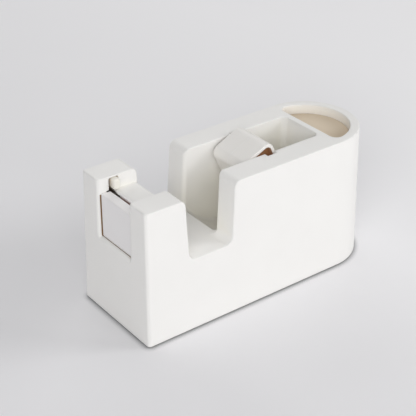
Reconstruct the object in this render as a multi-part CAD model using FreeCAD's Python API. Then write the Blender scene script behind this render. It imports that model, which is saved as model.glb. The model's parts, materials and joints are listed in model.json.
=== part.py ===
import FreeCAD, Part
import math
import os

from FreeCAD import Vector

# Desk tape dispenser with a sliding cutter, a drop-in tape hub and a small rear tray.
# Millimetres. +X runs from the cutter to the rear tray, +Z is up, Y is across.
# The origin is on the table, under the middle of the body. The drops to the saddle, hub and deck
# go down from the top face; lengths named "from front" start where the front face meets it.

# ---------------------------------------------------------------- driving dimensions: body
body_length = 142.0
body_width = 54.0
body_height = 68.9
side_draft = 1.25
front_draft = 0.92
table_gap = 0.8
front_corner_radius = 1.6
lip_edge = 0.5
wall = 2.4

# saddle, the open gap between the cutter tower and the rear block
tower_depth = 21.4
rear_block_from_front = 48.7
saddle_drop = 31.6
saddle_draft = 2.8
saddle_lip_radius = 3.6
saddle_floor_radius = 4.0

# tape well and hub
well_width = 25.3
hub_from_front = 76.3
hub_drop = 8.6
well_behind_hub = 33.7
well_corner_radius = 3.0
well_floor_edge = 1.8
mouth_radius = 2.2
mouth_floor_radius = 2.0
partition = 3.5
hub_side = 20.3
hub_corner_radius = 4.4
hub_wall = 1.7
hub_length = 22.4
hub_turn = 25.4
core_recess = 3.0
core_boss_radius = 4.2
core_boss_gap = 0.4
hub_rim_edge = 0.4
axle_radius = 2.6
axle_bore_clearance = 0.05
axle_end_play = 0.2
guide_depth = 2.1
guide_clearance = 0.15
guide_lean = 21.1
press_gap = 0.05

# rear tray
tray_rim = 4.6
tray_corner_radius = 3.4
tray_depth = 5.0
liner_thickness = 1.2
liner_gap = 0.15

# cutter bay
deck_drop = 7.4
bay_height = 21.9
bay_depth = 9.55
bay_corner_radius = 0.8
bay_lip_radius = 1.6
deck_chamfer_run = 1.2
deck_chamfer_drop = 0.5
cover_setback = 1.45
cover_gap = 0.4
cover_wall = 2.0
cover_top_radius = 0.8
cover_strip_depth = 4.95
groove_width = 2.1
lip_drop = 1.0
lip_reach = 1.05
lip_thickness = 1.0
channel_front_wall = 3.5
channel_height = 5.6
rail_thickness = 0.95
rail_top_drop = 0.3
rail_floor = 2.0
rail_edge_radius = 0.25
rib_thickness = 2.4
rib_offset = 10.4
rail_stake_radius = 0.8
rail_stake_head = 0.5
deck_rear_radius = 2.5
cover_boss_radius = 2.4
cover_boss_height = 8.0
small_screw_radius = 1.0
small_screw_head_radius = 1.9
small_screw_head_height = 1.1
small_screw_length = 7.0

# sliding cutter
slide_clearance = 0.2
fin_clearance = 0.1
carriage_length = 7.4
nose_length = 4.3
nose_height = 0.55
stake_radius = 0.6
stake_inset = 1.6
stake_drop = 2.0
blade_thickness = 0.4
blade_tip_drop = 0.85
blade_edge_run = 4.4
blade_entry = 1.4
blade_end_inset = 1.0
blade_tang_rise = 3.4
blade_foot_drop = 3.6
knob_width = 3.4
knob_height = 5.5
knob_length = 5.8
knob_radius = 0.9
knob_edge = 0.45
knob_deck_gap = 0.6
knob_front_cover = 0.45
knob_reach = 2.05
pocket_clearance = 0.4
pocket_end_gap = 0.3
pocket_radius = 0.9
runway_headroom = 0.5

# base
rebate_width = 1.2
plate_thickness = 2.4
plate_recess = 0.3
plate_gap = 0.15
boss_radius = 3.5
boss_height = 12.0
front_boss_inset = 9.5
boss_wall_overlap = 0.6
screw_radius = 1.45
screw_hole_gap = 0.05
screw_head_radius = 2.75
screw_head_height = 1.4
screw_head_gap = 0.3
screw_length = 9.0
cross_length = 3.2
cross_width = 0.7
cross_depth = 0.7
foot_length = 14.0
foot_width = 8.0
foot_thickness = 1.7
foot_corner = 1.5
foot_socket_gap = 0.1
foot_front_inset = 20.0
foot_rear_inset = 38.0
foot_side_inset = 10.5
ballast_from_front = 14.0
ballast_from_rear = 30.9
ballast_side_inset = 6.0
ballast_under_well = 2.1
ballast_edge = 1.5
fence_gap = 0.3
fence_wall = 1.6
fence_height = 3.0
hold_down_gap = 0.3
hold_down_width = 30.0
hold_down_thickness = 1.8
hold_down_spacing = 14.0

# ---------------------------------------------------------------- derived places
bottom_z = table_gap
top_z = table_gap + body_height
side_slope = math.tan(math.radians(side_draft))
front_slope = math.tan(math.radians(front_draft))
saddle_slope = math.tan(math.radians(saddle_draft))
front_x = -body_length / 2 + body_height * front_slope
saddle_z = top_z - saddle_drop
tower_rear_x = front_x + tower_depth
tower_foot_x = tower_rear_x + saddle_drop * saddle_slope
block_front_x = front_x + rear_block_from_front
mouth_x = block_front_x - saddle_drop * saddle_slope
hub_x = front_x + hub_from_front
hub_z = top_z - hub_drop
well_half = well_width / 2
well_rear_x = hub_x + well_behind_hub
well_radius = math.hypot(hub_x - mouth_x, hub_z - saddle_z)
rear_centre_x = body_length / 2 - body_width / 2
tray_edge_x = well_rear_x + partition
tray_radius = body_width / 2 - body_height * side_slope - tray_rim
tray_floor_z = top_z - tray_depth - liner_thickness
guide_width = 2 * (axle_radius + guide_clearance)
guide_direction = Vector(math.sin(math.radians(guide_lean)), 0, math.cos(math.radians(guide_lean)))
deck_z = top_z - deck_drop
bay_floor_z = deck_z - bay_height
bay_rear_x = front_x + bay_depth
cover_x = front_x + cover_setback
cover_bottom_z = bay_floor_z + cover_gap
cover_half = well_half - cover_gap
groove_x = cover_x + cover_strip_depth
groove_rear_x = groove_x + groove_width
channel_x = cover_x + channel_front_wall
channel_roof_z = deck_z - lip_drop - lip_thickness
channel_floor_z = channel_roof_z - channel_height
rail_rear_x = groove_rear_x + rail_thickness
rail_top_z = deck_z - rail_top_drop
rail_bottom_z = channel_floor_z - rail_floor
rail_stake_x = (channel_x + groove_rear_x) / 2
cutter_screw_x = cover_x + cover_wall + cover_boss_radius
blade_x = groove_rear_x - fin_clearance - blade_thickness
knob_x = blade_x - knob_front_cover
knob_bottom_z = deck_z + knob_deck_gap
knob_near_y = well_half - knob_reach
knob_far_y = knob_near_y + knob_length
pocket_end_y = knob_far_y + pocket_end_gap
plate_bottom_z = bottom_z + plate_recess
plate_top_z = plate_bottom_z + plate_thickness
screw_seat_z = plate_bottom_z + screw_head_height
ballast_front_x = front_x + ballast_from_front
ballast_rear_x = body_length / 2 - ballast_from_rear
ballast_half = body_width / 2 - ballast_side_inset
ballast_top_z = hub_z - well_radius - wall - ballast_under_well
through = 10.0
overlap = 0.5
close = 0.01


# ---------------------------------------------------------------- shape helpers
def box(x, y, z):
    """A box between two limits along each axis."""
    solid = Part.makeBox(x[1] - x[0], y[1] - y[0], z[1] - z[0])
    solid.translate(Vector(x[0], y[0], z[0]))
    return solid


def rod(radius, start, direction, length):
    """A round bar from a start point."""
    return Part.makeCylinder(radius, length, start, direction)


def rounded_wire(points, radii, place):
    """A closed wire through flat points, with a tangent arc of its own radius at each corner."""
    count = len(points)
    corners = []
    for index in range(count):
        corner = Vector(*points[index], 0)
        before = Vector(*points[index - 1], 0) - corner
        after = Vector(*points[(index + 1) % count], 0) - corner
        if radii[index] == 0:
            corners.append((corner, None, corner))
            continue
        half_angle = before.getAngle(after) / 2
        reach = radii[index] / math.tan(half_angle)
        bisector = (before.normalize() + after.normalize()).normalize()
        middle = corner + bisector * (radii[index] / math.sin(half_angle) - radii[index])
        corners.append((corner + before * reach, middle, corner + after * reach))
    edges = []
    for index in range(count):
        start, middle, end = corners[index]
        if middle is not None:
            arc = Part.Arc(place(start.x, start.y), place(middle.x, middle.y), place(end.x, end.y))
            edges.append(arc.toShape())
        following = corners[(index + 1) % count][0]
        if end.distanceToPoint(following) > close:
            line = Part.LineSegment(place(end.x, end.y), place(following.x, following.y))
            edges.append(line.toShape())
    return Part.Wire(edges)


def side_profile(points, radii, y):
    """A prism across the body from an outline in X and Z."""
    wire = rounded_wire(points, radii, lambda u, v: Vector(u, y[0], v))
    return Part.Face(wire).extrude(Vector(0, y[1] - y[0], 0))


def front_profile(points, radii, x):
    """A prism along the body from an outline in Y and Z."""
    wire = rounded_wire(points, radii, lambda u, v: Vector(x[0], u, v))
    return Part.Face(wire).extrude(Vector(x[1] - x[0], 0, 0))


def plan_profile(points, radii, z):
    """An upright prism from an outline in X and Y."""
    wire = rounded_wire(points, radii, lambda u, v: Vector(u, v, z[0]))
    return Part.Face(wire).extrude(Vector(0, 0, z[1] - z[0]))


def flat_sided_block(low, high):
    """A solid between two four-sided rings of points, with flat sides."""
    faces = [Part.Face(Part.makePolygon(ring + ring[:1])) for ring in (low, high)]
    for index in range(4):
        beside = (index + 1) % 4
        loop = [low[index], low[beside], high[beside], high[index], low[index]]
        faces.append(Part.Face(Part.makePolygon(loop)))
    return Part.Solid(Part.Shell(faces))


def lone_solid(shape):
    """The solid by itself, where a shape holds just one."""
    return shape.Solids[0] if len(shape.Solids) == 1 else shape


def fuse_all(shapes):
    """One solid from pieces that meet."""
    whole = shapes[0]
    for shape in shapes[1:]:
        whole = whole.fuse(shape)
    return lone_solid(whole.removeSplitter())


def edges_at(shape, test):
    """The straight and curved edges whose bounding box passes a test."""
    return [edge for edge in shape.Edges if test(edge.BoundBox)]


# ---------------------------------------------------------------- body: outer form and its voids
def half_width_at(z):
    return body_width / 2 - (z - bottom_z) * side_slope


def front_x_at(z):
    return -body_length / 2 + (z - bottom_z) * front_slope


def outer_form(inset, z):
    """The drafted block with its half-round rear end, moved inwards by an inset."""
    rings = []
    for height in z:
        half = half_width_at(height) - inset
        front = front_x_at(height) + inset
        rings.append([Vector(front, -half, height), Vector(rear_centre_x, -half, height),
                      Vector(rear_centre_x, half, height), Vector(front, half, height)])
    block = flat_sided_block(rings[0], rings[1])
    rear = Part.makeCone(half_width_at(z[0]) - inset, half_width_at(z[1]) - inset, z[1] - z[0],
                         Vector(rear_centre_x, 0, z[0]), Vector(0, 0, 1))
    return fuse_all([block, rear])


def saddle_void():
    """The gap between tower and rear block, with rounded lips and floor corners."""
    over = top_z + through
    reach = saddle_lip_radius * math.tan(math.radians(90 - saddle_draft) / 2)
    points = [(tower_rear_x - reach, top_z), (tower_rear_x, top_z), (tower_foot_x, saddle_z),
              (mouth_x, saddle_z), (block_front_x, top_z), (block_front_x + reach, top_z),
              (block_front_x + reach, over), (tower_rear_x - reach, over)]
    radii = [0, saddle_lip_radius, saddle_floor_radius, saddle_floor_radius, saddle_lip_radius, 0, 0, 0]
    return side_profile(points, radii, (-body_width, body_width))


def saddle_core(skin):
    """The saddle gap with its skin."""
    points = [(tower_rear_x - skin, top_z), (tower_foot_x - skin, saddle_z - skin),
              (mouth_x + skin, saddle_z - skin), (block_front_x + skin, top_z)]
    return side_profile(points, [0] * 4, (-body_width, body_width))


def well_form(skin):
    """The well's room: a round-bottomed trough about the hub, closed by the well's rear wall."""
    half = well_half + skin
    radius = well_radius + skin
    left = Vector(hub_x - radius, -half, hub_z)
    bottom = Vector(hub_x, -half, hub_z - radius)
    right = Vector(hub_x + radius, -half, hub_z)
    rise = Vector(0, 0, top_z + through - hub_z)
    outline = Part.Wire([Part.Arc(left, bottom, right).toShape(),
                         Part.LineSegment(right, right + rise).toShape(),
                         Part.LineSegment(right + rise, left + rise).toShape(),
                         Part.LineSegment(left + rise, left).toShape()])
    trough = Part.Face(outline).extrude(Vector(0, 2 * half, 0))
    if skin == 0:
        floor_edges = edges_at(trough, lambda b: b.YLength < close and b.ZMax < hub_z + close)
        trough = trough.makeChamfer(well_floor_edge, floor_edges)
    corner = 0 if skin else well_corner_radius
    start = hub_x - radius - through
    plan = [(start, -half), (well_rear_x + skin, -half), (well_rear_x + skin, half), (start, half)]
    return trough.common(plan_profile(plan, [0, corner, corner, 0], (0, top_z + 2 * through)))


def mouth_void():
    """The level way from the saddle into the well, and the rounded edges of its two jambs."""
    over = top_z + through
    wide = well_half + mouth_radius
    start = mouth_x - saddle_floor_radius - overlap
    ramp_z = saddle_z + saddle_floor_radius + overlap
    ramp_x = mouth_x + (ramp_z - saddle_z) * saddle_slope
    apron = front_profile([(-wide, saddle_z), (wide, saddle_z), (wide, over), (-wide, over)],
                          [mouth_floor_radius, mouth_floor_radius, 0, 0], (start, block_front_x))
    ramp = [(start, saddle_z), (mouth_x, saddle_z), (ramp_x, ramp_z), (start, ramp_z)]
    apron = apron.common(side_profile(ramp, [0] * 4, (-body_width, body_width)))
    doorway = box((mouth_x - overlap, block_front_x), (-well_half, well_half), (saddle_z, over))
    turn = mouth_radius * (1 - math.sqrt(0.5))
    jambs = []
    for side in (-1, 1):
        outer = Vector(mouth_x, side * wide, saddle_z)
        middle = Vector(mouth_x + turn, side * (well_half + turn), saddle_z)
        inner = Vector(mouth_x + mouth_radius, side * well_half, saddle_z)
        corner = Vector(mouth_x, side * well_half, saddle_z)
        jamb = Part.Face(Part.Wire([Part.Arc(outer, middle, inner).toShape(),
                                    Part.LineSegment(inner, corner).toShape(),
                                    Part.LineSegment(corner, outer).toShape()]))
        post = jamb.extrude(Vector(0, 0, top_z + through - saddle_z))
        post.rotate(Vector(mouth_x, 0, saddle_z), Vector(0, 1, 0), saddle_draft)
        jambs.append(post)
    return [apron, doorway] + jambs


def guide_form(skin, side):
    """A leaning, round-ended slot in one wall of the well for an end of the axle."""
    radius = guide_width / 2 + skin
    depth = guide_depth + skin + overlap
    start = Vector(hub_x, side * (well_half - overlap), hub_z)
    length = (top_z - hub_z) / guide_direction.z + 2 * radius
    drop = radius if skin else 0
    run = Part.makeBox(2 * radius, depth, length + drop, Vector(-radius, 0, -drop))
    run.rotate(Vector(0, 0, 0), Vector(0, 1, 0), guide_lean)
    run.translate(Vector(hub_x, min(start.y, start.y + side * depth), hub_z))
    return run if skin else fuse_all([run, rod(radius, start, Vector(0, side, 0), depth)])


def tray_form(skin, z):
    """The D-shaped room of the rear tray."""
    disc = rod(tray_radius + skin, Vector(rear_centre_x, 0, z[0]), Vector(0, 0, 1), z[1] - z[0])
    room = box((tray_edge_x - skin, rear_centre_x + body_width), (-body_width, body_width), z)
    form = disc.common(room)
    if skin > 0:
        return form
    upright = edges_at(form, lambda b: b.YLength < close and b.ZLength > close)
    corners = [edge for edge in upright if edge.BoundBox.XMax < tray_edge_x - skin + close]
    return form.makeFillet(tray_corner_radius + skin, corners)


def bay_form(skin):
    """The cutter bay in the tower's front, and the tape's path over the rear deck."""
    half = well_half + skin
    front = front_x - through
    over = top_z + through
    corner = 0 if skin else bay_corner_radius
    floor_z = bay_floor_z - skin
    bay = front_profile([(-half, floor_z), (half, floor_z), (half, over), (-half, over)],
                        [corner, corner, 0, 0], (front, bay_rear_x + skin))
    if skin:
        path = box((front, tower_foot_x + through), (-half, half), (deck_z - skin, over))
        return [bay, path]
    edge_z = deck_z - saddle_floor_radius * 2
    rear_at = tower_rear_x + (top_z - deck_z) * saddle_slope
    edge_at = tower_rear_x + (top_z - edge_z) * saddle_slope
    chamfer_z = deck_z - deck_chamfer_drop
    points = [(bay_rear_x - overlap, chamfer_z), (bay_rear_x, chamfer_z),
              (bay_rear_x + deck_chamfer_run, deck_z), (rear_at, deck_z), (edge_at, edge_z),
              (edge_at + overlap, edge_z), (edge_at + overlap, over), (bay_rear_x - overlap, over)]
    path = side_profile(points, [0, 0, 0, deck_rear_radius, 0, 0, 0, 0], (-half, half))
    return [bay, path]


def pocket_form(skin, side):
    """The room in a post for the end of the carriage's run; the far post also parks the knob."""
    y = sorted((side * (well_half - overlap), side * (pocket_end_y + skin)))
    runway = box((channel_x - slide_clearance - skin, groove_rear_x + slide_clearance + skin), y,
                 (channel_floor_z - slide_clearance - skin, deck_z + runway_headroom + skin))
    if side < 0:
        return [runway]
    x = (groove_x - pocket_clearance - skin, knob_x + knob_width + pocket_clearance + skin)
    z = (deck_z - skin, knob_bottom_z + knob_height + pocket_clearance + skin)
    radius = 0 if skin else pocket_radius
    garage = side_profile([(x[0], z[0]), (x[1], z[0]), (x[1], z[1]), (x[0], z[1])],
                          [0, 0, radius, radius], y)
    return [runway, garage]


# ---------------------------------------------------------------- body shell
def base_boss_places():
    """Where the three base screws stand."""
    reach = body_width / 2 - wall - boss_radius + boss_wall_overlap
    front = -body_length / 2 + front_boss_inset
    return {"front_near": (front, -reach), "front_far": (front, reach), "rear": (rear_centre_x + reach, 0)}


def on_bay_rim(b):
    """Whether an edge lies on the rim of the cutter bay in the front face."""
    inside = b.YMin > -well_half - close and b.YMax < well_half + close
    return inside and b.XMax < front_x + close and b.ZMin > bay_floor_z - close


def on_lip(b):
    """Whether an edge is a top edge, and not a line where a saddle lip starts to curve."""
    across_saddle = b.XMin > tower_rear_x - saddle_lip_radius and b.XMax < block_front_x + saddle_lip_radius
    return b.ZMin > top_z - close and not (b.XLength < close and across_saddle)


def in_mouth(b):
    """Whether a top edge runs along the well from the saddle to a guide slot."""
    level = b.YLength < close and abs(abs(b.YMin) - well_half) < close
    return on_lip(b) and level and b.XMin > tower_rear_x and b.XMax < hub_x + guide_width


def shell_skin():
    """The drafted form with its voids, hollowed from below to a skin of even thickness."""
    form = outer_form(0, (bottom_z, top_z))
    upright = edges_at(form, lambda b: b.XMax < rear_centre_x - close and b.YLength < body_width / 2)
    form = form.makeFillet(front_corner_radius, [edge for edge in upright if edge.BoundBox.ZLength > close])
    voids = [saddle_void(), well_form(0)] + mouth_void() + bay_form(0)
    voids += [tray_form(0, (tray_floor_z, top_z + through))]
    skins = [saddle_core(wall), well_form(wall)] + bay_form(wall)
    skins += [tray_form(wall, (tray_floor_z - wall, top_z + through))]
    for side in (-1, 1):
        voids += [guide_form(0, side)] + pocket_form(0, side)
        skins += [guide_form(wall, side)] + pocket_form(wall, side)
    shell = form.cut(voids)
    shell = shell.makeFillet(bay_lip_radius, edges_at(shell, on_bay_rim))
    rims = edges_at(shell, lambda b: on_lip(b) and not in_mouth(b))
    shell = shell.makeChamfer(lip_edge, rims)
    shell = shell.makeFillet(lip_edge, edges_at(shell, in_mouth))
    hollow = outer_form(wall, (bottom_z - overlap, top_z - wall)).cut(skins)
    rebate = outer_form(rebate_width, (bottom_z - overlap, plate_top_z))
    return shell.cut([hollow, rebate])


def body_shell():
    """The moulded shell, open below, with its screw bosses and the ribs that hold the ballast down."""
    up = Vector(0, 0, 1)
    additions = []
    holes = []
    for x, y in base_boss_places().values():
        additions.append(rod(boss_radius, Vector(x, y, plate_top_z), up, boss_height))
        holes.append(rod(screw_radius + screw_hole_gap, Vector(x, y, plate_top_z - overlap), up,
                         screw_seat_z + screw_length - plate_top_z + 2 * overlap))
    for step in (-0.5, 0.5):
        x = (tower_foot_x + mouth_x) / 2 + step * hold_down_spacing
        additions.append(box((x - hold_down_thickness / 2, x + hold_down_thickness / 2),
                             (-hold_down_width / 2, hold_down_width / 2),
                             (ballast_top_z + hold_down_gap, saddle_z - wall + overlap)))
    holes.append(rod(small_screw_radius + screw_hole_gap,
                     Vector(cutter_screw_x, 0, bay_floor_z - wall - overlap), up, wall + 2 * overlap))
    return fuse_all([shell_skin()] + additions).cut(holes)


# ---------------------------------------------------------------- base
def base_plate():
    """The plate that closes the body, with a fence for the ballast and sockets for the feet."""
    plate = outer_form(rebate_width + plate_gap, (plate_bottom_z, plate_top_z))
    inner = fence_gap
    outer = fence_gap + fence_wall
    x = (ballast_front_x, ballast_rear_x)
    y = (-ballast_half, ballast_half)
    z = (plate_top_z - overlap, plate_top_z + fence_height)
    fence = box((x[0] - outer, x[1] + outer), (y[0] - outer, y[1] + outer), z)
    fence = fence.cut(box((x[0] - inner, x[1] + inner), (y[0] - inner, y[1] + inner), z))
    plate = fuse_all([plate, fence])
    cuts = []
    up = Vector(0, 0, 1)
    for x, y in base_boss_places().values():
        cuts.append(rod(screw_radius + screw_hole_gap, Vector(x, y, 0), up, plate_top_z + overlap))
        cuts.append(rod(screw_head_radius + screw_head_gap, Vector(x, y, 0), up, screw_seat_z))
    for place in foot_places().values():
        cuts.append(foot_form(place, foot_socket_gap))
    return plate.cut(cuts)


def foot_places():
    """Where the four rubber pads sit."""
    side = body_width / 2 - foot_side_inset
    front = -body_length / 2 + foot_front_inset
    rear = body_length / 2 - foot_rear_inset
    return {"front_near": (front, -side), "front_far": (front, side),
            "rear_near": (rear, -side), "rear_far": (rear, side)}


def foot_form(place, gap):
    """A rubber pad with cut corners, or with a gap the socket that takes it."""
    x, y = place
    pad = box((x - foot_length / 2 - gap, x + foot_length / 2 + gap),
              (y - foot_width / 2 - gap, y + foot_width / 2 + gap), (0, foot_thickness))
    return pad.makeChamfer(foot_corner, edges_at(pad, lambda b: b.ZLength > close))


def screw(radius, head_radius, head_height, length, seat):
    """A pan-head screw that points up from the underside of its head."""
    head = rod(head_radius, seat - Vector(0, 0, head_height), Vector(0, 0, 1), head_height)
    return fuse_all([head, rod(radius, seat, Vector(0, 0, 1), length)])


def base_screw(place):
    """A screw up through the base plate into a boss, with a cross recess in its head."""
    x, y = place
    z = (plate_bottom_z - overlap, plate_bottom_z + cross_depth)
    arm = cross_length / 2
    slot = cross_width / 2
    cross = [box((x - arm, x + arm), (y - slot, y + slot), z),
             box((x - slot, x + slot), (y - arm, y + arm), z)]
    return screw(screw_radius, screw_head_radius, screw_head_height, screw_length,
                 Vector(x, y, screw_seat_z)).cut(cross)


def ballast_block():
    """The cast weight that keeps the dispenser still under a one-handed pull."""
    block = box((ballast_front_x, ballast_rear_x), (-ballast_half, ballast_half),
                (plate_top_z, ballast_top_z))
    upper = edges_at(block, lambda b: b.ZMin > ballast_top_z - close or b.ZLength > close)
    return block.makeChamfer(ballast_edge, upper)


# ---------------------------------------------------------------- rear tray
def tray_liner():
    """The D-shaped floor pad of the tray."""
    return tray_form(-liner_gap, (tray_floor_z, tray_floor_z + liner_thickness))


# ---------------------------------------------------------------- cutter bay parts
def cutter_front_cover():
    """The front block: panel, top strip, the lip over the channel, and the ribs that carry the rail."""
    y = (-cover_half, cover_half)
    brace = channel_front_wall - cover_wall
    inner_x = cover_x + cover_wall
    points = [(cover_x, cover_bottom_z), (cover_x, deck_z), (groove_x, deck_z),
              (groove_x, deck_z - lip_drop), (groove_x + lip_reach, deck_z - lip_drop),
              (groove_x + lip_reach, channel_roof_z), (channel_x, channel_roof_z),
              (channel_x, rail_bottom_z), (inner_x, rail_bottom_z - brace), (inner_x, cover_bottom_z)]
    pieces = [side_profile(points, [0, cover_top_radius, 0, 0, 0, 0, 0, 0, 0, 0], y)]
    up = Vector(0, 0, 1)
    for side in (-1, 1):
        middle = side * rib_offset
        pieces.append(box((inner_x - overlap, rail_rear_x),
                          (middle - rib_thickness / 2, middle + rib_thickness / 2),
                          (cover_bottom_z, rail_bottom_z)))
        pieces.append(rod(rail_stake_radius, Vector(rail_stake_x, middle, rail_bottom_z - overlap), up,
                          rail_floor - rail_stake_head + overlap))
    pieces.append(rod(cover_boss_radius, Vector(cutter_screw_x, 0, cover_bottom_z), up, cover_boss_height))
    pieces.append(box((inner_x - overlap, cutter_screw_x), (-cover_boss_radius, cover_boss_radius),
                      (cover_bottom_z, cover_bottom_z + cover_boss_height)))
    hole = rod(small_screw_radius + screw_hole_gap, Vector(cutter_screw_x, 0, cover_bottom_z - overlap), up,
               small_screw_length - wall + 2 * overlap)
    return fuse_all(pieces).cut(hole)


def cutter_rear_rail():
    """The angle that makes the floor and the rear side of the carriage's channel."""
    y = (-cover_half, cover_half)
    points = [(channel_x, rail_bottom_z), (rail_rear_x, rail_bottom_z), (rail_rear_x, rail_top_z),
              (groove_rear_x, rail_top_z), (groove_rear_x, channel_floor_z), (channel_x, channel_floor_z)]
    rail = side_profile(points, [0, 0, rail_edge_radius, rail_edge_radius, 0, 0], y)
    low = rail_bottom_z - overlap
    holes = [rod(rail_stake_radius + press_gap, Vector(rail_stake_x, side * rib_offset, low),
                 Vector(0, 0, 1), rail_floor + 2 * overlap) for side in (-1, 1)]
    return rail.cut(holes)


def cutter_screw():
    """A screw up through the bay's floor into the front cover."""
    return screw(small_screw_radius, small_screw_head_radius, small_screw_head_height,
                 small_screw_length, Vector(cutter_screw_x, 0, bay_floor_z - wall))


# ---------------------------------------------------------------- sliding cutter
def slider_carriage():
    """The black slide: a body under the cover's lip, a fin through the groove and a nose above."""
    y = (knob_far_y - carriage_length, knob_far_y)
    nose_y = (knob_near_y - nose_length, cover_half)
    nose_z = (deck_z - lip_drop + fin_clearance, deck_z - lip_drop + fin_clearance + nose_height)
    body_top = channel_roof_z - slide_clearance
    body = box((channel_x + slide_clearance, blade_x), y, (channel_floor_z + slide_clearance, body_top))
    fin_x = groove_x + lip_reach + fin_clearance
    fin = box((fin_x, blade_x), y, (body_top - overlap, nose_z[1]))
    bow = plan_profile([(fin_x, nose_y[0] + nose_length / 2), (blade_x, nose_y[0]),
                        (blade_x, nose_y[1]), (groove_x + fin_clearance, nose_y[1]),
                        (groove_x + fin_clearance, nose_y[0] + nose_length)], [0, 0, 0, 0, 0], nose_z)
    carriage = fuse_all([body, fin, bow])
    for y, z in blade_stakes():
        carriage = carriage.fuse(rod(stake_radius, Vector(blade_x - overlap, y, z), Vector(1, 0, 0),
                                     blade_thickness + overlap))
    return carriage.removeSplitter()


def blade_stakes():
    """Where two stakes of the carriage hold the blade."""
    z = channel_roof_z - stake_drop
    return [(knob_far_y - stake_inset, z), (knob_far_y - carriage_length + stake_inset, z)]


def slider_blade():
    """A thin steel blade with its edge sloping up from the nose to the knob."""
    tip_y = knob_near_y - blade_edge_run
    tip_z = deck_z - blade_tip_drop
    foot_z = channel_roof_z - blade_foot_drop
    shoulder_y = knob_near_y + blade_entry
    tang_y = knob_far_y - carriage_length + blade_end_inset
    points = [(tip_y, tip_z), (shoulder_y, knob_bottom_z - press_gap),
              (shoulder_y, knob_bottom_z + blade_tang_rise),
              (knob_far_y - blade_end_inset, knob_bottom_z + blade_tang_rise),
              (knob_far_y - blade_end_inset, foot_z), (tang_y, foot_z), (tang_y, channel_roof_z),
              (tip_y + blade_end_inset, channel_roof_z)]
    blade = front_profile(points, [0] * 8, (blade_x, blade_x + blade_thickness))
    holes = [rod(stake_radius + press_gap, Vector(blade_x - overlap, y, z), Vector(1, 0, 0),
                 blade_thickness + 2 * overlap) for y, z in blade_stakes()]
    return blade.cut(holes)


def slider_knob():
    """The rounded thumb block, clipped over the blade's tang."""
    x = (knob_x, knob_x + knob_width)
    z = (knob_bottom_z, knob_bottom_z + knob_height)
    block = side_profile([(x[0], z[0]), (x[1], z[0]), (x[1], z[1]), (x[0], z[1])], [knob_radius] * 4,
                         (knob_near_y, knob_far_y))
    block = block.makeChamfer(knob_edge, edges_at(block, lambda b: b.YLength < close))
    slot = box((blade_x - press_gap, blade_x + blade_thickness + press_gap),
               (knob_near_y + blade_entry - press_gap, knob_far_y - blade_end_inset + press_gap),
               (knob_bottom_z - overlap, knob_bottom_z + blade_tang_rise + press_gap))
    return block.cut(slot)


# ---------------------------------------------------------------- tape hub
def hub_form(half_side, radius, y):
    """A rounded square bar along the hub's axis, at the hub's rest turn."""
    points = [(-half_side, -half_side), (half_side, -half_side), (half_side, half_side),
              (-half_side, half_side)]
    form = side_profile(points, [radius] * 4, y)
    form.rotate(Vector(0, 0, 0), Vector(0, 1, 0), -hub_turn)
    form.translate(Vector(hub_x, 0, hub_z))
    return form


def hub_sleeve(side):
    """Half of the white sleeve that the tape's core slides over."""
    y = sorted((0, side * hub_length / 2))
    outer = hub_form(hub_side / 2, hub_corner_radius, y)
    edge = edges_at(outer, lambda b: b.YLength < close and abs(b.YMax) > hub_length / 2 - close)
    outer = outer.makeChamfer(hub_rim_edge, edge)
    inner = hub_form(hub_side / 2 - hub_wall, hub_corner_radius - hub_wall, (-hub_length, hub_length))
    return outer.cut(inner)


def hub_core():
    """The core that joins the two sleeve halves and turns on the axle."""
    half_side = hub_side / 2 - hub_wall - press_gap
    half_length = hub_length / 2 - core_recess
    core = hub_form(half_side, hub_corner_radius - hub_wall - press_gap, (-half_length, half_length))
    boss_end = well_half - core_boss_gap
    boss = rod(core_boss_radius, Vector(hub_x, -boss_end, hub_z), Vector(0, 1, 0), 2 * boss_end)
    bore = rod(axle_radius + axle_bore_clearance, Vector(hub_x, -well_width, hub_z), Vector(0, 1, 0),
               2 * well_width)
    return fuse_all([core, boss]).cut(bore)


def hub_axle():
    """The pin whose ends lie in the two guide slots."""
    end = well_half + guide_depth - axle_end_play
    return rod(axle_radius, Vector(hub_x, -end, hub_z), Vector(0, 1, 0), 2 * end)


# ---------------------------------------------------------------- all the pieces
def pieces():
    """Every piece of the dispenser by name."""
    parts = {"body_shell": body_shell(), "base_plate": base_plate(), "ballast_block": ballast_block(),
             "tray_liner": tray_liner(), "cutter_front_cover": cutter_front_cover(),
             "cutter_rear_rail": cutter_rear_rail(), "slider_carriage": slider_carriage(),
             "slider_blade": slider_blade(), "slider_knob": slider_knob(),
             "hub_sleeve_near": hub_sleeve(-1), "hub_sleeve_far": hub_sleeve(1),
             "hub_core": hub_core(), "hub_axle": hub_axle(), "cutter_screw": cutter_screw()}
    for name, place in base_boss_places().items():
        parts["base_screw_" + name] = base_screw(place)
    for name, place in foot_places().items():
        parts["foot_pad_" + name] = foot_form(place, 0)
    return parts


os.makedirs("parts", exist_ok=True)
for name, shape in pieces().items():
    lone_solid(shape).exportStep("parts/" + name + ".step")
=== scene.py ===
import json
import math

import bpy
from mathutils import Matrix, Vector


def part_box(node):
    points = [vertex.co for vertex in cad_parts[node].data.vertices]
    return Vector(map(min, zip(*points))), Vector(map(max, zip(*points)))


# The look of the desk tape dispenser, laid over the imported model. Lengths are in metres and angles
# in degrees, in the model's frame: x runs from the cutter to the tray, y from the near side to the
# far side, and z upwards.

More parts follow.
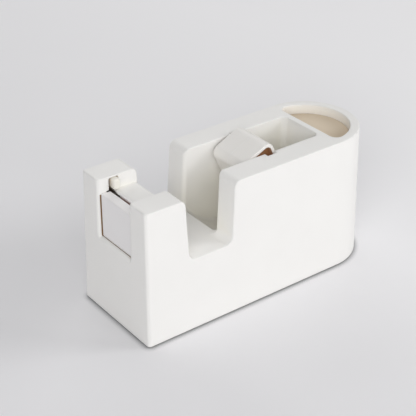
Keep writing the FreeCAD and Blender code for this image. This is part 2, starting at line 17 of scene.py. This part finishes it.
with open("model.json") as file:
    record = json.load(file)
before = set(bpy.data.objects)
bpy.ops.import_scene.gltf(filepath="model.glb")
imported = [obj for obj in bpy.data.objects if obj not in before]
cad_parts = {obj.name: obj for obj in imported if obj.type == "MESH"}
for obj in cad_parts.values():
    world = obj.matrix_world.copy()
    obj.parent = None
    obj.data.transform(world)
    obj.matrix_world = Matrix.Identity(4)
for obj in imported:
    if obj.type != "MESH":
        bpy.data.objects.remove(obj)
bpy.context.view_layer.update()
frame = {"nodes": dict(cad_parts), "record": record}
record = frame["record"]
cover_low, cover_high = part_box("cutter_front_cover")
knob_low, knob_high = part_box("slider_knob")
core_low, core_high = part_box("hub_core")
sleeve_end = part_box("hub_sleeve_far")[1].y
liner_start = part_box("tray_liner")[0].x

MM = 0.001
BACK_WAY, FAR_WAY, UP_WAY = (1, 0, 0), (0, 1, 0), (0, 0, 1)

# ---------------------------------------------------------------- view
IMAGE_SIZE = 416
FOCAL_PIXELS = 1168.87
SENSOR_WIDTH = 36.0
CAMERA_PLACE = Vector((-0.3059, -0.3825, 0.3242))
CAMERA_AZIMUTH = 37.051
CAMERA_TILT = 30.421

# ---------------------------------------------------------------- light and stage
WORLD_LEVEL = 0.225
WORLD_COLOUR = (0.99, 0.99, 1.0)
# Each light's place, its size and its power in watts.
LIGHTS = {
    "key_right": ((1.3, -0.97, 0.78), (0.7, 0.7), 8.7),
    "near_right": ((0.35, -1.5, 0.85), (0.9, 0.9), 2.5),
    "near_left": ((-0.9, -1.4, 1.0), (1.2, 1.0), 7.8),
    "front": ((-1.3, -1.1, 0.8), (1.0, 1.0), 9.6),
    "back": ((0.5, 1.6, 1.0), (1.6, 1.0), 7.7),
    "right": ((1.6, -0.5, 0.9), (1.0, 1.0), 3.3),
    "overhead": ((0.2, 0.5, 1.6), (1.6, 1.6), 3.2),
}
LIGHT_TARGET = Vector((0, 0, 0.035))
FLOOR_SIZE = 6.0
FLOOR_NEAR = (0.835, 0.83, 0.847)
FLOOR_NEAR_DIM = (0.825, 0.82, 0.837)
FLOOR_FAR_PAINTED_LIGHT = (0.965, 0.959, 0.972)
FLOOR_CLOUD = 90 * MM
FLOOR_GRAIN = 1.5 * MM
FLOOR_GRAIN_DEPTH = 0.03 * MM
FLOOR_ROUGHNESS = 0.9
FLOOR_SPECULAR = 0.2
# The paper is painted lighter along this way, between these distances, as painted light.
FLOOR_RISE_WAY = (0.98, 0.2, 0)
FLOOR_RISE_ENDS = (-187 * MM, 266 * MM)
# Painted contact shadow on the floor close to the part.
CONTACT_SHADE = (0.42, 0.42, 0.425)
CONTACT_OPENNESS = 0.97
CONTACT_REACH = 3.2 * MM

# ---------------------------------------------------------------- smoothing
SMOOTH_ANGLE = 50.0
WELD_DISTANCE = 0.002 * MM
EDGE_RADIUS = 0.3 * MM
EDGE_SAMPLES = 6

# ---------------------------------------------------------------- surfaces
# Noise stays between these values for the most part.
NOISE_ENDS = (0.3, 0.7)
PLASTIC_CLOUD = 28 * MM
PLASTIC_GRAIN = 0.25 * MM
PLASTIC_GRAIN_DEPTH = 0.008 * MM
PLASTIC_GLOSS_SPREAD = 0.06
PLASTIC_IOR = 1.49
STEEL_PATCH = 4 * MM
STEEL_PATCH_SHADE = 0.85
STEEL_LINE = 0.5 * MM
STEEL_LINE_DEPTH = 0.004 * MM
STEEL_GLOSS_SPREAD = (-0.08, 0.1)
IRON_LUMP = 2.5 * MM
IRON_LUMP_DEPTH = 0.1 * MM
IRON_TONES = ((0.055, 0.052, 0.05), (0.09, 0.082, 0.075))
IRON_ROUGHNESS = (0.6, 0.85)
IRON_METALLIC = 0.6
RUBBER_SPECKLE = 0.4 * MM
RUBBER_SPECKLE_DEPTH = 0.02 * MM
RUBBER_TONES = ((0.02, 0.02, 0.021), (0.035, 0.035, 0.036))
RUBBER_ROUGHNESS = (0.75, 0.95)

# ---------------------------------------------------------------- painted highlights, painted shade, the hub's lining, and where they lie
# A FADE of two numbers says where a tint begins and where it is full, and a FADE of one number how
# wide that stretch is. A REACH is how far a tint goes from its place, and it is full within
# FULL_SHARE of that. A hollow's tint begins where the sky's openness falls under the value given,
# and is full at CLOSED_SHARE of it.
FULL_SHARE = 0.6
CLOSED_SHARE = 0.45
SKY_SAMPLES = 8
FRONT_FADE = (-50 * MM, -55 * MM)

# Painted highlight on the edges: the cosines of the turn at which an edge begins to be paler, and is
# palest.
EDGE_HIGHLIGHT_TURN = (0.99, 0.85)
EDGE_HIGHLIGHT_COLOUR = (0.98, 0.975, 0.965)

# Painted warm shade in the shell's hollows, where little of the sky is seen.
HOLLOW_PAINTED_SHADE = (0.925, 0.9, 0.82)
HOLLOW_OPENNESS = 0.6
HOLLOW_REACH = 40 * MM

# Painted brown shade in the gaps beside and under the cutter's cover.
GAP_SHADE_BROWN = (0.26, 0.15, 0.07)
COVER_GAP = 0.4 * MM
SIDE_SEAM_PLACE = (cover_low.x, cover_high.y + COVER_GAP / 2, 0)
SIDE_SEAM_REACH = 0.6 * MM
SIDE_SEAM_TOP = cover_high.z - 0.3 * MM
SIDE_SEAM_TOP_FADE = 0.1 * MM
SIDE_SEAM_FOOT = cover_low.z - 2 * COVER_GAP
SIDE_SEAM_FOOT_FADE = 1 * MM
FOOT_SEAM_PLACE = (cover_low.x, 0, cover_low.z - COVER_GAP / 2)
FOOT_SEAM_REACH = 0.32 * MM
FOOT_SEAM_SIDE_REACH = 20 * MM

# Painted brown shade down in the cutter's groove.
GROOVE_SHADE_BROWN = (0.4, 0.19, 0.145)
GROOVE_FROM_FRONT = 6 * MM
GROOVE_DEPTH = 3 * MM
GROOVE_PLACE = (cover_low.x + GROOVE_FROM_FRONT, 0, cover_high.z - GROOVE_DEPTH)
GROOVE_REACH = 2.5 * MM

# Painted brown shade in the knob's pockets.
POCKET_SHADE_BROWN = (0.62, 0.42, 0.22)
KNOB_IN_POCKET = 0.4 * MM
KNOB_MIDDLE = (knob_low + knob_high) / 2
POCKET_PLACE = (KNOB_MIDDLE.x, knob_high.y - KNOB_IN_POCKET, KNOB_MIDDLE.z)
POCKET_REACH = 7.5 * MM
POCKET_DEPTH_REACH = 3.3 * MM
POCKET_TOP = knob_high.z + 0.5 * MM
POCKET_TOP_FADE = 0.3 * MM

HUB_BROWN = (0.6, 0.35, 0.2)
HUB_MIDDLE = (core_low + core_high) / 2
HUB_TURN = 25.4
HUB_INSIDE_HALF = 8.6 * MM
HUB_INSIDE_END = sleeve_end - 0.3 * MM
HUB_INSIDE_FADE = 0.2 * MM

# Painted shade on the tray's rim wall.
RIM_SHADE = (0.74, 0.7, 0.655)
RIM_OPENNESS = 0.9
RIM_REACH = 8 * MM
RIM_FADE = (liner_start - 4.25 * MM, liner_start - 2.75 * MM)

# Painted shadow of the near rim on the liner, and painted shade by its far wall.
LINER_NEAR_SHADOW = (0.56, 0.44, 0.31)
LINER_NEAR_FADE = (-4 * MM, -22 * MM)
LINER_FAR_SHADE = (0.6, 0.49, 0.36)
LINER_FAR_FADE = (12 * MM, 22 * MM)


# ---------------------------------------------------------------- materials
class Nodes:
    """A short way to write a material's node tree."""

    MIX_FIRST, MIX_SECOND, MIX_RESULT = 6, 7, 2

    def __init__(self, name):
        self.material = bpy.data.materials.new(name)
        self.material.use_nodes = True
        self.tree = self.material.node_tree
        self.shader = self.tree.nodes["Principled BSDF"]
        self.place = self.add("ShaderNodeTexCoord").outputs["Object"]

    def add(self, kind, **values):
        node = self.tree.nodes.new(kind)
        for name, value in values.items():
            setattr(node, name, value)
        return node

    def link(self, start, end):
        self.tree.links.new(start, end)

    def surface(self, tone, roughness, normal):
        """Gives the shader its colour, roughness and normal."""
        self.link(tone, self.shader.inputs["Base Color"])
        self.link(roughness, self.shader.inputs["Roughness"])
        self.link(normal, self.shader.inputs["Normal"])

    def ranged(self, value, start, end, low=0.0, high=1.0):
        """A value that goes from low at the start to high at the end, and stays there."""
        node = self.add("ShaderNodeMapRange")
        node.inputs["From Min"].default_value = start
        node.inputs["From Max"].default_value = end
        node.inputs["To Min"].default_value = low
        node.inputs["To Max"].default_value = high
        self.link(value, node.inputs["Value"])
        return node.outputs["Result"]

    def vector(self, operation, first, second):
        """One step of vector arithmetic, whose second value is linked or constant."""
        node = self.add("ShaderNodeVectorMath", operation=operation)
        self.link(first, node.inputs[0])
        if isinstance(second, bpy.types.NodeSocket):
            self.link(second, node.inputs[1])
        else:
            node.inputs[1].default_value = second
        return node.outputs["Value" if operation in ("DOT_PRODUCT", "DISTANCE") else "Vector"]

    def noise(self, size, detail=3.0, stretch=(1, 1, 1)):
        """Soft noise whose features are about so large, in metres."""
        mapping = self.add("ShaderNodeMapping")
        mapping.inputs["Scale"].default_value = stretch
        self.link(self.place, mapping.inputs["Vector"])
        texture = self.add("ShaderNodeTexNoise")
        texture.inputs["Scale"].default_value = 1 / size
        texture.inputs["Detail"].default_value = detail
        self.link(mapping.outputs["Vector"], texture.inputs["Vector"])
        return texture.outputs["Fac"]

    def spread(self, value, low, high):
        """A noise value laid out between two limits."""
        return self.ranged(value, *NOISE_ENDS, low, high)

    def colours(self, value, first, second):
        """A colour between two, by a noise value."""
        mix = self.add("ShaderNodeMix", data_type="RGBA")
        self.link(self.spread(value, 0, 1), mix.inputs["Factor"])
        mix.inputs[self.MIX_FIRST].default_value = (*first, 1)
        mix.inputs[self.MIX_SECOND].default_value = (*second, 1)
        return mix.outputs[self.MIX_RESULT]

    def toned(self, tone, shade, amount):
        """A colour that turns into a shade by an amount of 0 to 1."""
        mix = self.add("ShaderNodeMix", data_type="RGBA")
        self.link(amount, mix.inputs["Factor"])
        self.link(tone, mix.inputs[self.MIX_FIRST])
        mix.inputs[self.MIX_SECOND].default_value = (*shade, 1)
        return mix.outputs[self.MIX_RESULT]

    def bump(self, value, depth, strength, under=None):
        """A normal that a height value roughens, on top of another normal."""
        node = self.add("ShaderNodeBump")
        node.inputs["Distance"].default_value = depth
        node.inputs["Strength"].default_value = strength
        self.link(value, node.inputs["Height"])
        if under is not None:
            self.link(under, node.inputs["Normal"])
        return node.outputs["Normal"]

    def soft_edges(self, radius):
        """A normal that rounds the sharp edges, in shade only."""
        node = self.add("ShaderNodeBevel", samples=EDGE_SAMPLES)
        node.inputs["Radius"].default_value = radius
        return node.outputs["Normal"]

    def painted_edge_highlight(self, tone, rounded):
        """A colour that is a little lighter where an edge turns, as a painted highlight."""
        flat = self.add("ShaderNodeNewGeometry").outputs["Normal"]
        turn = self.vector("DOT_PRODUCT", flat, rounded)
        return self.toned(tone, EDGE_HIGHLIGHT_COLOUR, self.ranged(turn, *EDGE_HIGHLIGHT_TURN))

    def across(self, way, start, end):
        """0 to 1 along a direction, between two distances from the origin."""
        return self.ranged(self.vector("DOT_PRODUCT", self.place, way), start, end)

    def closed_in(self, openness, reach, own=True):
        """0 to 1 where less than this openness of the sky is seen past the piece itself, or
        past every piece when own is False. Only what is within reach closes it."""
        sky = self.add("ShaderNodeAmbientOcclusion", samples=SKY_SAMPLES, only_local=own)
        sky.inputs["Distance"].default_value = reach
        return self.ranged(sky.outputs["AO"], openness, openness * CLOSED_SHARE)

    def close_to(self, place, reach, along=(1, 1, 1)):
        """1 near a place, 0 from the reach on, alike on both sides of the middle. A zero in
        along makes the place a line or a plane that runs that way."""
        nearest = [abs(value) * kept for value, kept in zip(place, along)]
        mirrored = self.vector("ABSOLUTE", self.place, (0, 0, 0))
        flat = self.vector("MULTIPLY", mirrored, along)
        return self.ranged(self.vector("DISTANCE", flat, nearest), reach, reach * FULL_SHARE)

    def all_of(self, first, *others):
        """1 where all the masks are 1, and 0 where one of them is 0."""
        for other in others:
            node = self.add("ShaderNodeMath", operation="MULTIPLY")
            self.link(first, node.inputs[0])
            self.link(other, node.inputs[1])
            first = node.outputs[0]
        return first


def plastic(name, colour, roughness, drift=0.015, tint=None):
    """Moulded plastic: a fine spark-eroded grain, faint unevenness in colour and gloss."""
    nodes = Nodes(name)
    fine = nodes.noise(PLASTIC_GRAIN, detail=4)
    darker = tuple(max(c - drift, 0) for c in colour)
    tone = nodes.colours(nodes.noise(PLASTIC_CLOUD, detail=2), colour, darker)
    rounded = nodes.soft_edges(EDGE_RADIUS)
    if tint is not None:
        tone = tint(nodes, tone, rounded)
    gloss = nodes.spread(fine, roughness - PLASTIC_GLOSS_SPREAD, roughness + PLASTIC_GLOSS_SPREAD)
    nodes.surface(tone, gloss, nodes.bump(fine, PLASTIC_GRAIN_DEPTH, strength=0.5, under=rounded))
    nodes.shader.inputs["IOR"].default_value = PLASTIC_IOR
    return nodes.material


def shell_painted_light(nodes, tone, rounded):
    """Painted highlights on the edges, painted warm shade in the hollows, painted brown shade in the
    knob pockets, painted grey shade on the tray wall, painted brown shade in the seams.
    """
    tone = nodes.painted_edge_highlight(tone, rounded)
    # Painted warm shade in the hollows.
    tone = nodes.toned(tone, HOLLOW_PAINTED_SHADE, nodes.closed_in(HOLLOW_OPENNESS, HOLLOW_REACH))
    # Painted brown shade in the knob pockets.
    pockets = nodes.all_of(
        nodes.close_to(POCKET_PLACE, POCKET_REACH),
        nodes.across(BACK_WAY, *FRONT_FADE),
        nodes.close_to(POCKET_PLACE, POCKET_DEPTH_REACH, along=FAR_WAY),
        nodes.across(UP_WAY, POCKET_TOP + POCKET_TOP_FADE, POCKET_TOP),
    )
    tone = nodes.toned(tone, POCKET_SHADE_BROWN, pockets)
    # Painted shade on the tray's rim wall.
    rim = nodes.all_of(nodes.closed_in(RIM_OPENNESS, RIM_REACH), nodes.across(BACK_WAY, *RIM_FADE))
    tone = nodes.toned(tone, RIM_SHADE, rim)
    return seam_painted_shade(nodes, tone)


def seam_painted_shade(nodes, tone):
    """Painted brown shade close to the gaps beside and under the cutter's cover."""
    sides = nodes.all_of(
        nodes.close_to(SIDE_SEAM_PLACE, SIDE_SEAM_REACH, along=(1, 1, 0)),
        nodes.across(UP_WAY, SIDE_SEAM_TOP, SIDE_SEAM_TOP - SIDE_SEAM_TOP_FADE),
        nodes.across(UP_WAY, SIDE_SEAM_FOOT - SIDE_SEAM_FOOT_FADE, SIDE_SEAM_FOOT),
        nodes.across(BACK_WAY, *FRONT_FADE),
    )
    tone = nodes.toned(tone, GAP_SHADE_BROWN, sides)
    foot = nodes.all_of(
        nodes.close_to(FOOT_SEAM_PLACE, FOOT_SEAM_REACH, along=(1, 0, 1)),
        nodes.close_to((0, 0, 0), FOOT_SEAM_SIDE_REACH, along=FAR_WAY),
        nodes.across(BACK_WAY, *FRONT_FADE),
    )
    return nodes.toned(tone, GAP_SHADE_BROWN, foot)


def cutter_painted_light(nodes, tone, rounded):
    """Painted highlights on the edges, painted brown shade in the groove and in the seams."""
    tone = nodes.painted_edge_highlight(tone, rounded)
    groove = nodes.close_to(GROOVE_PLACE, GROOVE_REACH, along=(1, 0, 1))
    tone = nodes.toned(tone, GROOVE_SHADE_BROWN, groove)
    return seam_painted_shade(nodes, tone)


def hub_lining_and_edge_highlight(nodes, tone, rounded):
    """Painted highlights on the edges, and brown inside the square sleeve but for the rim of each
    end.
    """
    turn = math.radians(HUB_TURN)
    walls = (
        ((math.cos(turn), 0, math.sin(turn)), HUB_INSIDE_HALF),
        ((-math.sin(turn), 0, math.cos(turn)), HUB_INSIDE_HALF),
        (FAR_WAY, HUB_INSIDE_END),
    )
    inside = []
    for way, half in walls:
        for side in (1, -1):
            wall = HUB_MIDDLE.dot(Vector(way)) + side * half
            inside.append(nodes.across(way, wall + side * HUB_INSIDE_FADE, wall))
    return nodes.toned(nodes.painted_edge_highlight(tone, rounded), HUB_BROWN, nodes.all_of(*inside))


def liner_painted_shadow(nodes, tone, rounded):
    """Duller towards the near end and the far end: a painted shadow of the near rim and painted
    shade by the far wall.
    """
    tone = nodes.toned(tone, LINER_NEAR_SHADOW, nodes.across(FAR_WAY, *LINER_NEAR_FADE))
    return nodes.toned(tone, LINER_FAR_SHADE, nodes.across(FAR_WAY, *LINER_FAR_FADE))


def steel(name, colour, roughness, stretch):
    """Ground steel with fine lines along one way."""
    nodes = Nodes(name)
    lines = nodes.noise(STEEL_LINE, detail=5, stretch=stretch)
    darker = tuple(c * STEEL_PATCH_SHADE for c in colour)
    tone = nodes.colours(nodes.noise(STEEL_PATCH, detail=2), colour, darker)
    gloss = nodes.spread(lines, *(roughness + change for change in STEEL_GLOSS_SPREAD))
    nodes.surface(tone, gloss, nodes.bump(lines, STEEL_LINE_DEPTH, strength=0.4))
    nodes.shader.inputs["Metallic"].default_value = 1.0
    return nodes.material


def cast_iron(name):
    """Raw cast iron, dark and lumpy."""
    nodes = Nodes(name)
    lumps = nodes.noise(IRON_LUMP, detail=6)
    gloss = nodes.spread(lumps, *IRON_ROUGHNESS)
    normal = nodes.bump(lumps, IRON_LUMP_DEPTH, strength=0.8)
    nodes.surface(nodes.colours(lumps, *IRON_TONES), gloss, normal)
    nodes.shader.inputs["Metallic"].default_value = IRON_METALLIC
    return nodes.material


def rubber(name):
    """Dull black rubber with a fine speckle."""
    nodes = Nodes(name)
    fine = nodes.noise(RUBBER_SPECKLE, detail=4)
    gloss = nodes.spread(fine, *RUBBER_ROUGHNESS)
    normal = nodes.bump(fine, RUBBER_SPECKLE_DEPTH, strength=0.6)
    nodes.surface(nodes.colours(fine, *RUBBER_TONES), gloss, normal)
    return nodes.material


# What each material slot of the record is made of: a colour, a roughness and what is special.
FINISHES = {
    "shell_white": lambda n: plastic(n, (0.9, 0.89, 0.868), 0.5, tint=shell_painted_light),
    "base_grey": lambda n: plastic(n, (0.5, 0.5, 0.49), 0.6),
    "ballast_iron": cast_iron,
    "liner_tan": lambda n: plastic(n, (0.76, 0.65, 0.51), 0.75, drift=0.03, tint=liner_painted_shadow),
    "cutter_grey_white": lambda n: plastic(n, (0.885, 0.868, 0.868), 0.42, tint=cutter_painted_light),
    "slider_black": lambda n: plastic(n, (0.03, 0.02, 0.015), 0.38, drift=0.006),
    "blade_steel": lambda n: steel(n, (0.86, 0.86, 0.87), 0.34, stretch=(1, 6, 1)),
    "knob_warm_white": lambda n: plastic(n, (0.9, 0.87, 0.8), 0.4),
    "hub_white": lambda n: plastic(n, (0.895, 0.875, 0.84), 0.45, tint=hub_lining_and_edge_highlight),
    "core_brown": lambda n: plastic(n, (0.5, 0.25, 0.125), 0.5, drift=0.03),
    "pin_steel": lambda n: steel(n, (0.6, 0.6, 0.6), 0.3, stretch=(1, 8, 1)),
    "screw_steel": lambda n: steel(n, (0.5, 0.5, 0.5), 0.35, stretch=(3, 3, 1)),
    "foot_rubber": rubber,
}


def dress_cad_nodes():
    """Gives each CAD node its slot's material, smooth where its faces meet softly."""
    made = {slot: build(slot) for slot, build in FINISHES.items()}
    smoothing = smooth_by_angle()
    for part in record["subparts"]:
        piece = frame["nodes"][part["node"]]
        piece.data.materials.clear()
        piece.data.materials.append(made[part["material_slot"]])
        weld = piece.modifiers.new("weld", "WELD")
        weld.merge_threshold = WELD_DISTANCE
        piece.modifiers.new("smooth", "NODES").node_group = smoothing
        even = piece.modifiers.new("even", "WEIGHTED_NORMAL")
        even.keep_sharp = True


def smooth_by_angle():
    """A node group that shades faces smooth and keeps the edges sharper than an angle."""
    group = bpy.data.node_groups.new("smooth_by_angle", "GeometryNodeTree")
    group.interface.new_socket("Geometry", in_out="INPUT", socket_type="NodeSocketGeometry")
    group.interface.new_socket("Geometry", in_out="OUTPUT", socket_type="NodeSocketGeometry")
    start = group.nodes.new("NodeGroupInput")
    end = group.nodes.new("NodeGroupOutput")
    faces = group.nodes.new("GeometryNodeSetShadeSmooth")
    faces.domain = "FACE"
    edges = group.nodes.new("GeometryNodeSetShadeSmooth")
    edges.domain = "EDGE"
    edges.inputs["Shade Smooth"].default_value = False
    angle = group.nodes.new("GeometryNodeInputMeshEdgeAngle")
    sharper = group.nodes.new("FunctionNodeCompare")
    sharper.operation = "GREATER_THAN"
    sharper.inputs[1].default_value = math.radians(SMOOTH_ANGLE)
    group.links.new(start.outputs[0], faces.inputs["Geometry"])
    group.links.new(faces.outputs["Geometry"], edges.inputs["Geometry"])
    group.links.new(angle.outputs["Unsigned Angle"], sharper.inputs[0])
    group.links.new(sharper.outputs["Result"], edges.inputs["Selection"])
    group.links.new(edges.outputs["Geometry"], end.inputs[0])
    return group


# ---------------------------------------------------------------- stage
def floor_paper():
    """Plain pale paper, painted lighter away from the light, and with a painted contact shadow where
    the part stands on it.
    """
    nodes = Nodes("floor_paper")
    paper = nodes.colours(nodes.noise(FLOOR_CLOUD, detail=2), FLOOR_NEAR, FLOOR_NEAR_DIM)
    paper = nodes.toned(paper, FLOOR_FAR_PAINTED_LIGHT, nodes.across(FLOOR_RISE_WAY, *FLOOR_RISE_ENDS))
    contact = nodes.closed_in(CONTACT_OPENNESS, CONTACT_REACH, own=False)
    nodes.link(nodes.toned(paper, CONTACT_SHADE, contact), nodes.shader.inputs["Base Color"])
    grain = nodes.bump(nodes.noise(FLOOR_GRAIN, detail=3), FLOOR_GRAIN_DEPTH, strength=0.3)
    nodes.link(grain, nodes.shader.inputs["Normal"])
    nodes.shader.inputs["Roughness"].default_value = FLOOR_ROUGHNESS
    nodes.shader.inputs["Specular IOR Level"].default_value = FLOOR_SPECULAR
    return nodes.material


def add_stage():
    """The floor and an even world."""
    bpy.ops.mesh.primitive_plane_add(size=FLOOR_SIZE)
    floor = bpy.context.object
    floor.name = "floor"
    floor.data.materials.append(floor_paper())
    world = bpy.data.worlds.new("studio")
    bpy.context.scene.world = world
    world.use_nodes = True
    background = world.node_tree.nodes["Background"]
    background.inputs["Color"].default_value = (*WORLD_COLOUR, 1)
    background.inputs["Strength"].default_value = WORLD_LEVEL


def area_light(name, place, size, power):
    """A soft light that is aimed at the middle of the part."""
    data = bpy.data.lights.new(name, "AREA")
    data.shape = "RECTANGLE"
    data.size, data.size_y = size
    data.energy = power
    light = bpy.data.objects.new(name, data)
    light.location = place
    aim = LIGHT_TARGET - Vector(place)
    light.rotation_euler = aim.to_track_quat("-Z", "Y").to_euler()
    bpy.context.scene.collection.objects.link(light)


def add_camera():
    """The camera that was fitted to the photograph."""
    data = bpy.data.cameras.new("camera")
    data.sensor_width = SENSOR_WIDTH
    data.lens = SENSOR_WIDTH * FOCAL_PIXELS / IMAGE_SIZE
    camera = bpy.data.objects.new("camera", data)
    camera.location = CAMERA_PLACE
    camera.rotation_euler = (math.radians(90 - CAMERA_TILT), 0, math.radians(-CAMERA_AZIMUTH))
    bpy.context.scene.collection.objects.link(camera)
    bpy.context.scene.camera = camera


dress_cad_nodes()
add_stage()
for name, (place, size, power) in LIGHTS.items():
    area_light(name, place, size, power)
add_camera()
bpy.context.scene.view_settings.view_transform = "Standard"
